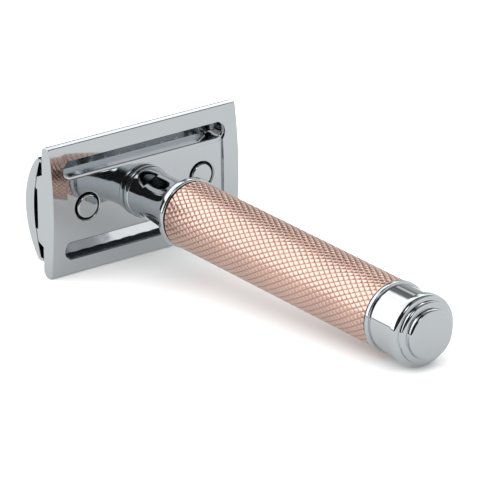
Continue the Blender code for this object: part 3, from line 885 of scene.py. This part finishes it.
def make_locating_pin(head, finish, name, side):
    """A round pin with a domed shoulder and a rounded end face."""
    radius, start, end = PIN_HIGH.z, PIN_LOW.x, PIN_HIGH.x
    shoulder = shoulder_place(head, radius)
    profile = [(start, 0), (start, PIN_ROOT), (shoulder, PIN_ROOT)]
    profile += front_corner(shoulder, radius, 0.1 * MM, 3)
    profile += rear_corner(end, radius, 0.4 * MM, 10)
    profile += [(end, radius * 0.4), (end, 0)]
    pin = turn(f"{name}_round", profile, SMALL_STEPS)
    pick_all()
    shift(y=side * PIN_PLACE)
    lay_down(pin, name, "cap", turned_chrome(finish))


def stud_thread(head, start, end, foot, crest):
    """One tooth wound round the axis from start to end, with both its ends filled."""
    pitch = head.thread_pitch
    # Each corner of a tooth: its share of the pitch, and its radius.
    tooth = [(0.06, foot), (0.34, crest), (0.46, crest), (0.74, foot)]
    points = [(start + share * pitch, 0, radius) for share, radius in tooth]
    thread = draw_line("stud_thread", points, closed=True)
    activate(thread)
    winding = thread.modifiers.new("Winding", "SCREW")
    winding.axis = "X"
    winding.steps = winding.render_steps = 48
    winding.screw_offset = pitch
    winding.iterations = int((end - start) / pitch)
    winding.use_merge_vertices = True
    winding.merge_threshold = WELD
    bpy.ops.object.modifier_apply(modifier=winding.name)
    bpy.ops.object.mode_set(mode="EDIT")
    tidy_shell()
    bpy.ops.mesh.select_all(action="DESELECT")
    bpy.ops.mesh.select_mode(type="EDGE")
    bpy.ops.mesh.select_non_manifold(
        use_wire=False, use_multi_face=False, use_non_contiguous=False, use_verts=False
    )
    bpy.ops.mesh.edge_face_add()
    tidy_shell()
    return thread


def make_clamp_stud(head, finish):
    """The stud's core, with a cut thread wound on to it and welded in."""
    crest, start, end = STUD_HIGH.z, STUD_LOW.x, STUD_HIGH.x
    core = crest - 0.44 * MM
    run_out, chamfer = 0.4 * MM, 0.35 * MM
    shoulder = shoulder_place(head, crest)
    plain_end = shoulder + 1.6 * MM
    profile = [(start, 0), (start, STUD_ROOT), (shoulder, STUD_ROOT), (shoulder, crest)]
    profile += [(plain_end, crest), (plain_end + run_out, core)]
    profile += [(end - chamfer, core), (end, core - chamfer), (end, 0)]
    stud = turn("clamp_stud_core", profile, SMALL_STEPS)
    first, last = plain_end + 0.2 * MM, end - 0.5 * MM
    thread = stud_thread(head, first, last, core - 0.15 * MM, crest)
    combine(stud, thread, "UNION")
    lay_down(stud, "clamp_stud", "cap", machined_steel(finish))


def blade_section(head):
    """A closed bent strip whose two edges are ground down to a fine edge."""
    half_thick, half_width, ground, steps = 0.05 * MM, 11 * MM, 0.9 * MM, 30
    edge_share = 0.12
    reach, grind = half_width / head.bend_radius, ground / head.bend_radius
    lean = [reach * i / steps for i in range(steps + 1)]
    outer, inner = [], []
    for t in [-t for t in reversed(lean[1:])] + lean:
        share = min(1.0, (reach - abs(t)) / grind)
        thick = half_thick * (edge_share + (1 - edge_share) * share)
        for line, offset in ((outer, thick), (inner, -thick)):
            radius = head.bend_radius + offset
            line.append((bend_centre(head) - radius * cos(t), radius * sin(t)))
    return outer + inner[::-1]


def make_blade(head, finish):
    """A thin bent blade with tabs at its ends, three holes and a long slot."""
    blade = draw_out("blade_strip", blade_section(head), [BLADE_LOW.y, 0, BLADE_HIGH.y])
    tab = head.bend_radius * sin(6.6 * MM / head.bend_radius)
    edge_half, far = BLADE_HIGH.y - TAB_LENGTH, HEAD_HALF + 3 * MM
    bottom, top = -9 * MM, MM
    for name, along, across in CORNERS:
        ys = sorted((along * edge_half, along * far))
        zs = sorted((across * tab, across * PLATE_HALF))
        low, high = (bottom, ys[0], zs[0]), (top, ys[1], zs[1])
        combine(blade, block(f"{name}_notch_tool", low, high, 0.3 * MM))
    slot = 1.2 * MM
    low, high = (bottom, -PIN_PLACE, -slot), (top, PIN_PLACE, slot)
    combine(blade, block("blade_slot_tool", low, high))
    pin_hole, stud_hole = PIN_HIGH.z + 0.15 * MM, STUD_HIGH.z + HOLE_PLAY
    for name, place, radius in (
        ("left", -PIN_PLACE, pin_hole),
        ("right", PIN_PLACE, pin_hole),
        ("middle", 0, stud_hole),
    ):
        tool = drill(f"{name}_blade_tool", radius, top, 0.05 * MM, (0, place, 0))
        combine(blade, tool)
    lay_down(blade, "blade", "blade", ground_steel(finish))


# ---- Handle ------------------------------------------------------------------


def grip_bore(handle):
    return GRIP_HIGH.z - handle.grip_wall


def make_neck(handle, finish):
    """Flange, waisted neck, collar and the spigot that the grip slides on."""
    seat, spigot_end = NECK_LOW.x, NECK_HIGH.x
    flange_end = seat + handle.flange_length
    collar_end = SEAL_LOW.x - HANDLE_PLAY
    collar_start = collar_end - handle.collar_length
    flange, neck, collar = 5.1 * MM, 4.88 * MM, NECK_HIGH.z
    spigot = grip_bore(handle) - HANDLE_PLAY
    chamfer = 0.2 * MM

    # The tapped bore, from its blind end out to its mouth.
    bore, blind, cone, mouth = STUD_HIGH.z + HANDLE_PLAY, 10.4 * MM, 0.5 * MM, 0.3 * MM
    profile = [(seat + blind, 0), (seat + blind, bore - cone)]
    profile += [(seat + blind - cone, bore), (seat + mouth, bore), (seat, bore + mouth)]

    # The flange, a short land behind it, and the waist.
    foot = flange - handle.flange_length / 4
    profile += bead(seat, handle.flange_length, flange, foot, 20)
    profile += [(flange_end + 0.1 * MM, neck), (flange_end + 0.4 * MM, neck - 0.02 * MM)]
    waist_start = seat + (collar_start - seat) / 3
    waist_top = collar - handle.collar_length / 4
    profile += flare(waist_start, collar_start, handle.waist, waist_top, 28)

    # The collar, whose crest leans a little towards the grip.
    profile += front_corner(collar_start + 0.1 * MM, collar, 0.36 * MM, 8)
    low, foot = collar - 0.09 * MM, collar - 0.45 * MM
    profile += rolled_side(collar_end - 0.36 * MM, collar_end - 0.02 * MM, low, foot)

    # The spigot, and the rod's bore inside it.
    rod_seat = seat + 12.5 * MM
    profile += [(collar_end, spigot), (spigot_end - chamfer, spigot)]
    profile += [(spigot_end, spigot - chamfer), (spigot_end, ROD_BORE)]
    profile += [(rod_seat, ROD_BORE), (rod_seat, 0)]
    piece = turn("neck_turned", profile)
    lay_down(piece, "neck", "handle", turned_chrome(finish), weighted=True)


def make_seal_ring(handle, name, low, high, material):
    """A flat rubber washer with its outer corners rounded."""
    inner, outer, rounding = grip_bore(handle), high.z, 0.1 * MM
    profile = [(low.x, inner)]
    profile += front_corner(low.x, outer, rounding, 4)
    profile += rear_corner(high.x, outer, rounding, 4)
    profile += [(high.x, inner)]
    ring = turn(f"{name}_soft", profile, closed=True)
    lay_down(ring, name, "handle", material)


def helper_turn(name, shift_by, angle):
    """An empty that says how each copy turns and shifts from the one before."""
    deselect()
    bpy.ops.object.empty_add(location=(shift_by, 0, 0), rotation=(angle, 0, 0))
    helper = bpy.context.object
    helper.name = name
    return helper


def draw_diamond(handle, start, valley):
    """Draw one knurled diamond with sloping sides, a flat top and softened top edges."""
    radius = GRIP_HIGH.z
    half_turn = pi / handle.knurl_starts
    pitch, depth, top = handle.knurl_pitch, handle.knurl_depth, handle.knurl_top
    deselect()
    bpy.ops.mesh.primitive_circle_add(
        vertices=4, radius=pitch / 2, fill_type="NGON", location=(start, 0, valley)
    )
    diamond = open_shape("grip_knurl")
    across = 2 * radius * sin(half_turn) / pitch * (valley / radius)
    pick_all()
    stretch((1, across, 1), (start, 0, valley))
    pick("VERT", lambda co: abs(co.y) > 0.1 * MM)
    shift(z=valley * (cos(half_turn) - 1))
    bpy.ops.mesh.select_mode(type="FACE")
    pick_all()
    extrude(z=depth)
    stretch((top, top, 1), (start, 0, radius))
    bpy.ops.mesh.select_mode(type="VERT")
    pick("VERT", lambda co: co.z > valley + depth * 0.5)
    stretch((1, 1, 0.02), (start, 0, radius))
    bevel_edges(lambda co: co.z > valley + depth * 0.5, 0.07 * MM, segments=2)
    return diamond


def make_grip(handle, finish):
    """One knurled diamond, repeated along and round the sleeve and cut at its ends."""
    radius, pitch = GRIP_HIGH.z, handle.knurl_pitch
    half_turn = pi / handle.knurl_starts
    grip = draw_diamond(handle, GRIP_LOW.x - pitch, radius - handle.knurl_depth)
    pair = helper_turn("knurl_pair", pitch / 2, half_turn)
    array(grip, 2, helper=pair)
    count = int((GRIP_HIGH.x - GRIP_LOW.x) / pitch) + 3
    array(grip, count, offset=(pitch, 0, 0), weld=True)
    ring = helper_turn("knurl_ring", 0, 2 * half_turn)
    array(grip, handle.knurl_starts, helper=ring, weld=True)
    bpy.data.objects.remove(pair)
    bpy.data.objects.remove(ring)
    bpy.ops.object.mode_set(mode="EDIT")
    finish_sleeve(handle)
    plating = rose_plating(finish, radius, handle.knurl_depth)
    lay_down(grip, "grip_sleeve", "handle", plating)


def finish_sleeve(handle):
    """Cut the knurled skin square at both ends and give it its wall and bore."""
    ends = ((GRIP_LOW.x, -1), (GRIP_HIGH.x, 1))
    bore = grip_bore(handle)
    middle = GRIP_HIGH.z - handle.knurl_depth / 2
    pick_all()
    bpy.ops.mesh.remove_doubles(threshold=0.003 * MM)
    for place, outwards in ends:
        pick_all()
        bpy.ops.mesh.bisect(
            plane_co=(place, 0, 0), plane_no=(outwards, 0, 0), clear_outer=True, threshold=WELD
        )
    for place, _ in ends:
        pick("EDGE", lambda co: near(co.x, place))
        extrude()
        stretch((1, bore / middle, bore / middle), (place, 0, 0))
    inside = bore + handle.knurl_depth / 2 + 0.05 * MM
    pick(
        "EDGE",
        lambda co: sqrt(co.y**2 + co.z**2) < inside
        and any(near(co.x, place) for place, _ in ends),
    )
    bpy.ops.mesh.bridge_edge_loops()
    face_outwards()


def make_pommel_ferrule(handle, finish):
    """The bead behind the grip and the plain band, on one hollow plug."""
    bore, boss_bore, band = 1.6 * MM, 4.6 * MM, 6.25 * MM
    spigot = grip_bore(handle) - HANDLE_PLAY
    front, end = FERRULE_LOW.x, FERRULE_HIGH.x
    start = REAR_SEAL_HIGH.x + HANDLE_PLAY
    boss_floor = POMMEL_LOW.x - 0.2 * MM
    chamfer, corner = 0.2 * MM, 0.1 * MM
    profile = [(front, bore), (front, spigot - chamfer)]
    profile += [(front + chamfer, spigot), (start, spigot)]

    # The bead, whose crest leans a little towards the band.
    crest, shoulder = FERRULE_HIGH.z, start + handle.bead_length
    low, foot = crest - 0.07 * MM, band + 0.04 * MM
    profile += front_corner(start, crest, 0.12 * MM, 5)
    profile += rolled_side(shoulder - 0.22 * MM, shoulder, low, foot)

    # The band, with two loops close to each end that keep its shading flat.
    profile += [(shoulder + 0.06 * MM, band), (shoulder + 0.1 * MM, band)]
    profile += [(end - 0.14 * MM, band), (end - corner, band)]
    profile += [(end, band - corner), (end, boss_bore)]
    profile += [(boss_floor, boss_bore), (boss_floor, bore)]
    piece = turn("pommel_ferrule_turned", profile, closed=True)
    chrome = turned_chrome(finish)
    lay_down(piece, "pommel_ferrule", "handle", chrome, weighted=True)


def leaning_roll(start, end, crest, drop, foot):
    """A crest that leans down to start, rolls off to end, and lands on a smaller foot."""
    profile = rolled_side(start, end, crest - drop, foot + 0.08 * MM)
    return profile + [(end + 0.02 * MM, foot + 0.02 * MM), (end + 0.06 * MM, foot)]


def make_pommel_cap(handle, finish):
    """Rounded bead, step and end disc, with a boss that plugs into the ferrule."""
    front, end, crest = POMMEL_LOW.x, POMMEL_HIGH.x, POMMEL_HIGH.z
    start = FERRULE_HIGH.x + HANDLE_PLAY
    boss, chamfer, rod_seat = 4.5 * MM, 0.15 * MM, end - 1.1 * MM
    step, disc = handle.step_radius, handle.disc_radius
    bead_end = start + 1.6 * MM
    step_end = bead_end + 1.0 * MM
    drop, disc_rounding = 0.05 * MM, 0.4 * MM
    profile = [(rod_seat, 0), (rod_seat, ROD_BORE), (front, ROD_BORE)]
    profile += [(front, boss - chamfer), (front + chamfer, boss), (start, boss)]
    profile += front_corner(start, crest, 0.16 * MM, 5)
    profile += leaning_roll(start + 0.92 * MM, bead_end, crest, 0.1 * MM, step)
    profile += leaning_roll(bead_end + 0.5 * MM, step_end, step, drop, disc)
    profile += rolled_side(step_end + 0.5 * MM, end, disc - drop, disc - disc_rounding)
    profile += [(end, disc * 0.5), (end, 0)]
    piece = turn("pommel_cap_turned", profile)
    lay_down(piece, "pommel_cap", "handle", turned_chrome(finish), weighted=True)


# ---- Studio ------------------------------------------------------------------


# How polished faces see the floor: a share of its colour, and a glow of its own.
REFLECTED_SHARE = 0.42
REFLECTED_GLOW = 0.30
FLOOR_RADIUS = 6


def make_floor(studio):
    """A wide pale floor, which polished faces see dimmer and more even than it is."""
    material = bpy.data.materials.new("studio_floor")
    material.use_nodes = True
    nodes = material.node_tree.nodes
    nodes.clear()
    matt = nodes.new("ShaderNodeBsdfDiffuse")
    matt.inputs["Color"].default_value = (*studio.floor, 1)
    dim = nodes.new("ShaderNodeBsdfDiffuse")
    dim.inputs["Color"].default_value = (*darker(studio.floor, REFLECTED_SHARE), 1)
    glow = nodes.new("ShaderNodeEmission")
    glow.inputs["Strength"].default_value = REFLECTED_GLOW
    lit = nodes.new("ShaderNodeAddShader")
    link(material, dim.outputs["BSDF"], lit.inputs[0])
    link(material, glow.outputs["Emission"], lit.inputs[1])
    path = nodes.new("ShaderNodeLightPath")
    choice = nodes.new("ShaderNodeMixShader")
    link(material, path.outputs["Is Glossy Ray"], choice.inputs["Fac"])
    link(material, matt.outputs["BSDF"], choice.inputs[1])
    link(material, lit.outputs["Shader"], choice.inputs[2])
    output = nodes.new("ShaderNodeOutputMaterial")
    link(material, choice.outputs["Shader"], output.inputs["Surface"])
    deselect()
    bpy.ops.mesh.primitive_circle_add(vertices=96, radius=FLOOR_RADIUS, fill_type="NGON")
    floor = open_shape("studio_floor")
    bpy.ops.object.mode_set(mode="OBJECT")
    floor.data.materials.append(material)


def world_value(tree, kind, operation, *inputs):
    """A Math node's result, or a Vector Math node's outputs, from numbers or sockets."""
    node = tree.nodes.new(kind)
    node.operation = operation
    for socket, value in zip(node.inputs, inputs):
        if isinstance(value, (int, float, tuple)):
            socket.default_value = value
        else:
            tree.links.new(value, socket)
    return node.outputs[0] if kind == "ShaderNodeMath" else node.outputs


def smooth_step(tree, value, low, high):
    """A value carried from low to high on to 0 to 1, eased at both ends."""
    node = tree.nodes.new("ShaderNodeMapRange")
    node.interpolation_type = "SMOOTHSTEP"
    node.inputs["From Min"].default_value = low
    node.inputs["From Max"].default_value = high
    tree.links.new(value, node.inputs["Value"])
    return node.outputs["Result"]


def panel(tree, direction, spec):
    """A soft-edged panel of light round the razor, as seen in its polished faces.

    Its place is given by azimuth and elevation. Azimuth 0 is towards -Y, 90 towards +X.
    """
    azimuth, half_width, low, high, soft, radiance = spec
    turn_to = radians(azimuth)
    ahead = (sin(turn_to), -cos(turn_to), 0.0)
    beside = (cos(turn_to), sin(turn_to), 0.0)
    math, vector = "ShaderNodeMath", "ShaderNodeVectorMath"
    forward = world_value(tree, vector, "DOT_PRODUCT", direction, ahead)["Value"]
    sideways = world_value(tree, vector, "DOT_PRODUCT", direction, beside)["Value"]
    rise = world_value(tree, vector, "DOT_PRODUCT", direction, (0.0, 0.0, 1.0))["Value"]
    away = world_value(tree, math, "ARCTAN2", sideways, forward)
    away = world_value(tree, math, "ABSOLUTE", away)
    height = world_value(tree, math, "ARCSINE", rise)
    edge = radians(soft)
    side = smooth_step(tree, away, radians(half_width) + edge, radians(half_width) - edge)
    bottom = smooth_step(tree, height, radians(low) - edge / 2, radians(low) + edge / 2)
    top = smooth_step(tree, height, radians(high) + edge, radians(high) - edge)
    both = world_value(tree, math, "MULTIPLY", bottom, top)
    whole = world_value(tree, math, "MULTIPLY", both, side)
    return world_value(tree, math, "MULTIPLY", whole, radiance)


# Azimuth, half width, lowest and highest elevation, softness (all degrees), radiance.
PANELS = (
    (-65.5, 35.5, 1.5, 46, 1.5, 1.9),
    (-88, 54, 45, 57, 3, 1.6),
    (159, 68, -1, 33, 10, 1.0),
    (-146, 20, 28, 52, 5, 1.6),
    (180, 90, 36, 90, 8, 0.22),
    (72, 8, 30, 50, 3, 3.0),
)
ROOM = 0.02


def make_world(studio):
    """Even light for matt surfaces, and panels in a dark room for polished ones."""
    world = bpy.data.worlds.new("studio")
    bpy.context.scene.world = world
    world.use_nodes = True
    tree = world.node_tree
    math, vector = "ShaderNodeMath", "ShaderNodeVectorMath"
    generated = tree.nodes.new("ShaderNodeTexCoord").outputs["Generated"]
    direction = world_value(tree, vector, "NORMALIZE", generated)["Vector"]
    total = ROOM
    for spec in PANELS:
        total = world_value(tree, math, "ADD", panel(tree, direction, spec), total)
    is_glossy = tree.nodes.new("ShaderNodeLightPath").outputs["Is Glossy Ray"]
    glossy = world_value(tree, math, "MULTIPLY", total, is_glossy)
    plain = world_value(tree, math, "SUBTRACT", 1.0, is_glossy)
    even = world_value(tree, math, "MULTIPLY", plain, studio.ambient)
    background = tree.nodes["Background"]
    strength = world_value(tree, math, "ADD", glossy, even)
    tree.links.new(strength, background.inputs["Strength"])
    background.inputs["Color"].default_value = (1, 1, 1, 1)


def add_softbox(name, place, aim, width, height, watts):
    """A rectangle of light that neither the camera nor polished faces see."""
    data = bpy.data.lights.new(name, "AREA")
    data.shape = "RECTANGLE"
    data.size = width
    data.size_y = height
    data.energy = watts
    light = bpy.data.objects.new(name, data)
    bpy.context.collection.objects.link(light)
    light.location = place
    light.rotation_mode = "QUATERNION"
    light.rotation_quaternion = (Vector(aim) - Vector(place)).to_track_quat("-Z", "Y")
    light.visible_camera = False
    light.visible_glossy = False


# The camera's place and its own axes, in the razor's own frame.
CAMERA_PLACE = Vector((0.7174124, -0.4967084, 0.3423146))
CAMERA_RIGHT = Vector((0.5890770, 0.8080210, -0.0095142))
CAMERA_UP = Vector((-0.2976392, 0.2279059, 0.9270762))
CAMERA_BACK = Vector((0.7512654, -0.5432872, 0.3747528))


def make_camera(studio):
    data = bpy.data.cameras.new("studio_camera")
    data.lens = studio.lens
    data.sensor_width = 36
    data.clip_start = 0.05
    data.clip_end = 30
    camera = bpy.data.objects.new("studio_camera", data)
    bpy.context.collection.objects.link(camera)
    turn_matrix = Matrix((CAMERA_RIGHT, CAMERA_UP, CAMERA_BACK)).transposed().to_4x4()
    camera.matrix_world = RESTING @ Matrix.Translation(CAMERA_PLACE) @ turn_matrix
    bpy.context.scene.camera = camera


# ---- Operators and panel -----------------------------------------------------


def done():
    """Leave nothing selected, and say that the operator finished."""
    deselect()
    return {"FINISHED"}


class RAZOR_OT_base_plate(bpy.types.Operator):
    """Model the base plate with its slots, holes and scalloped bars"""

    bl_idname = "razor.base_plate"
    bl_label = "Base Plate"
    bl_options = {"REGISTER", "UNDO"}

    def execute(self, context):
        make_base_plate(context.scene.razor_head, context.scene.razor_finish)
        return done()


class RAZOR_OT_top_cap(bpy.types.Operator):
    """Model the curved cap with its corner lugs and sockets"""

    bl_idname = "razor.top_cap"
    bl_label = "Top Cap"
    bl_options = {"REGISTER", "UNDO"}

    def execute(self, context):
        make_top_cap(context.scene.razor_head, context.scene.razor_finish)
        return done()


class RAZOR_OT_pins(bpy.types.Operator):
    """Model the two locating pins"""

    bl_idname = "razor.pins"
    bl_label = "Locating Pins"
    bl_options = {"REGISTER", "UNDO"}

    def execute(self, context):
        head, finish = context.scene.razor_head, context.scene.razor_finish
        for name, side in SIDES:
            make_locating_pin(head, finish, f"locating_pin_{name}", side)
        return done()


class RAZOR_OT_stud(bpy.types.Operator):
    """Model the clamping stud and its thread"""

    bl_idname = "razor.stud"
    bl_label = "Clamp Stud"
    bl_options = {"REGISTER", "UNDO"}

    def execute(self, context):
        make_clamp_stud(context.scene.razor_head, context.scene.razor_finish)
        return done()


class RAZOR_OT_blade(bpy.types.Operator):
    """Model the bent double-edge blade"""

    bl_idname = "razor.blade"
    bl_label = "Blade"
    bl_options = {"REGISTER", "UNDO"}

    def execute(self, context):
        make_blade(context.scene.razor_head, context.scene.razor_finish)
        return done()


class RAZOR_OT_neck(bpy.types.Operator):
    """Model the neck with its flange and collar"""

    bl_idname = "razor.neck"
    bl_label = "Neck"
    bl_options = {"REGISTER", "UNDO"}

    def execute(self, context):
        make_neck(context.scene.razor_handle, context.scene.razor_finish)
        return done()


class RAZOR_OT_grip(bpy.types.Operator):
    """Model the knurled grip sleeve"""

    bl_idname = "razor.grip"
    bl_label = "Grip Sleeve"
    bl_options = {"REGISTER", "UNDO"}

    def execute(self, context):
        make_grip(context.scene.razor_handle, context.scene.razor_finish)
        return done()


class RAZOR_OT_pommel(bpy.types.Operator):
    """Model the ferrule and the stepped pommel cap"""

    bl_idname = "razor.pommel"
    bl_label = "Pommel"
    bl_options = {"REGISTER", "UNDO"}

    def execute(self, context):
        make_pommel_ferrule(context.scene.razor_handle, context.scene.razor_finish)
        make_pommel_cap(context.scene.razor_handle, context.scene.razor_finish)
        return done()


class RAZOR_OT_seals(bpy.types.Operator):
    """Model both seal rings and finish the hidden tie rod"""

    bl_idname = "razor.seals"
    bl_label = "Seals and Tie Rod"
    bl_options = {"REGISTER", "UNDO"}

    def execute(self, context):
        handle, finish = context.scene.razor_handle, context.scene.razor_finish
        rubber = seal_rubber(finish)
        for name, low, high in (
            ("neck_seal_ring", SEAL_LOW, SEAL_HIGH),
            ("pommel_seal_ring", REAR_SEAL_LOW, REAR_SEAL_HIGH),
        ):
            make_seal_ring(handle, name, low, high, rubber)
        steel = bpy.data.materials.get("machined_steel") or machined_steel(finish)
        for holder in frame["nodes"]["tie_rod"].material_slots:
            holder.material = steel
        return done()


class RAZOR_OT_stage(bpy.types.Operator):
    """Set up the floor, the lights and the camera"""

    bl_idname = "razor.stage"
    bl_label = "Studio"
    bl_options = {"REGISTER", "UNDO"}

    def execute(self, context):
        studio = context.scene.razor_studio
        make_floor(studio)
        make_world(studio)
        make_camera(studio)
        context.scene.view_settings.view_transform = "Standard"
        add_softbox("key_softbox", (-0.9, -0.35, 0.75), (0.02, 0, 0), 0.9, 0.7, 4.0)
        return done()


OPERATORS = (
    RAZOR_OT_base_plate,
    RAZOR_OT_top_cap,
    RAZOR_OT_pins,
    RAZOR_OT_stud,
    RAZOR_OT_blade,
    RAZOR_OT_neck,
    RAZOR_OT_grip,
    RAZOR_OT_pommel,
    RAZOR_OT_seals,
    RAZOR_OT_stage,
)


class RAZOR_PT_panel(bpy.types.Panel):
    """Lists the razor's operators and settings"""

    bl_idname = "RAZOR_PT_panel"
    bl_label = "Safety Razor"
    bl_space_type = "VIEW_3D"
    bl_region_type = "UI"
    bl_category = "Razor"

    def draw(self, context):
        for operator in OPERATORS:
            self.layout.operator(operator.bl_idname)
        for name, _ in SETTINGS:
            group = getattr(context.scene, name)
            box = self.layout.box()
            for key in group.__annotations__:
                box.prop(group, key)


SETTINGS = (
    ("razor_head", HeadSettings),
    ("razor_handle", HandleSettings),
    ("razor_finish", FinishSettings),
    ("razor_studio", StudioSettings),
)


def register():
    for name, group in SETTINGS:
        bpy.utils.register_class(group)
        setattr(bpy.types.Scene, name, bpy.props.PointerProperty(type=group))
    for operator in OPERATORS:
        bpy.utils.register_class(operator)
    bpy.utils.register_class(RAZOR_PT_panel)


def unregister():
    bpy.utils.unregister_class(RAZOR_PT_panel)
    for operator in reversed(OPERATORS):
        bpy.utils.unregister_class(operator)
    for name, group in reversed(SETTINGS):
        delattr(bpy.types.Scene, name)
        bpy.utils.unregister_class(group)


def main():
    register()
    for operator in OPERATORS:
        group, name = operator.bl_idname.split(".")
        getattr(getattr(bpy.ops, group), name)()


if __name__ == "__main__":
    main()
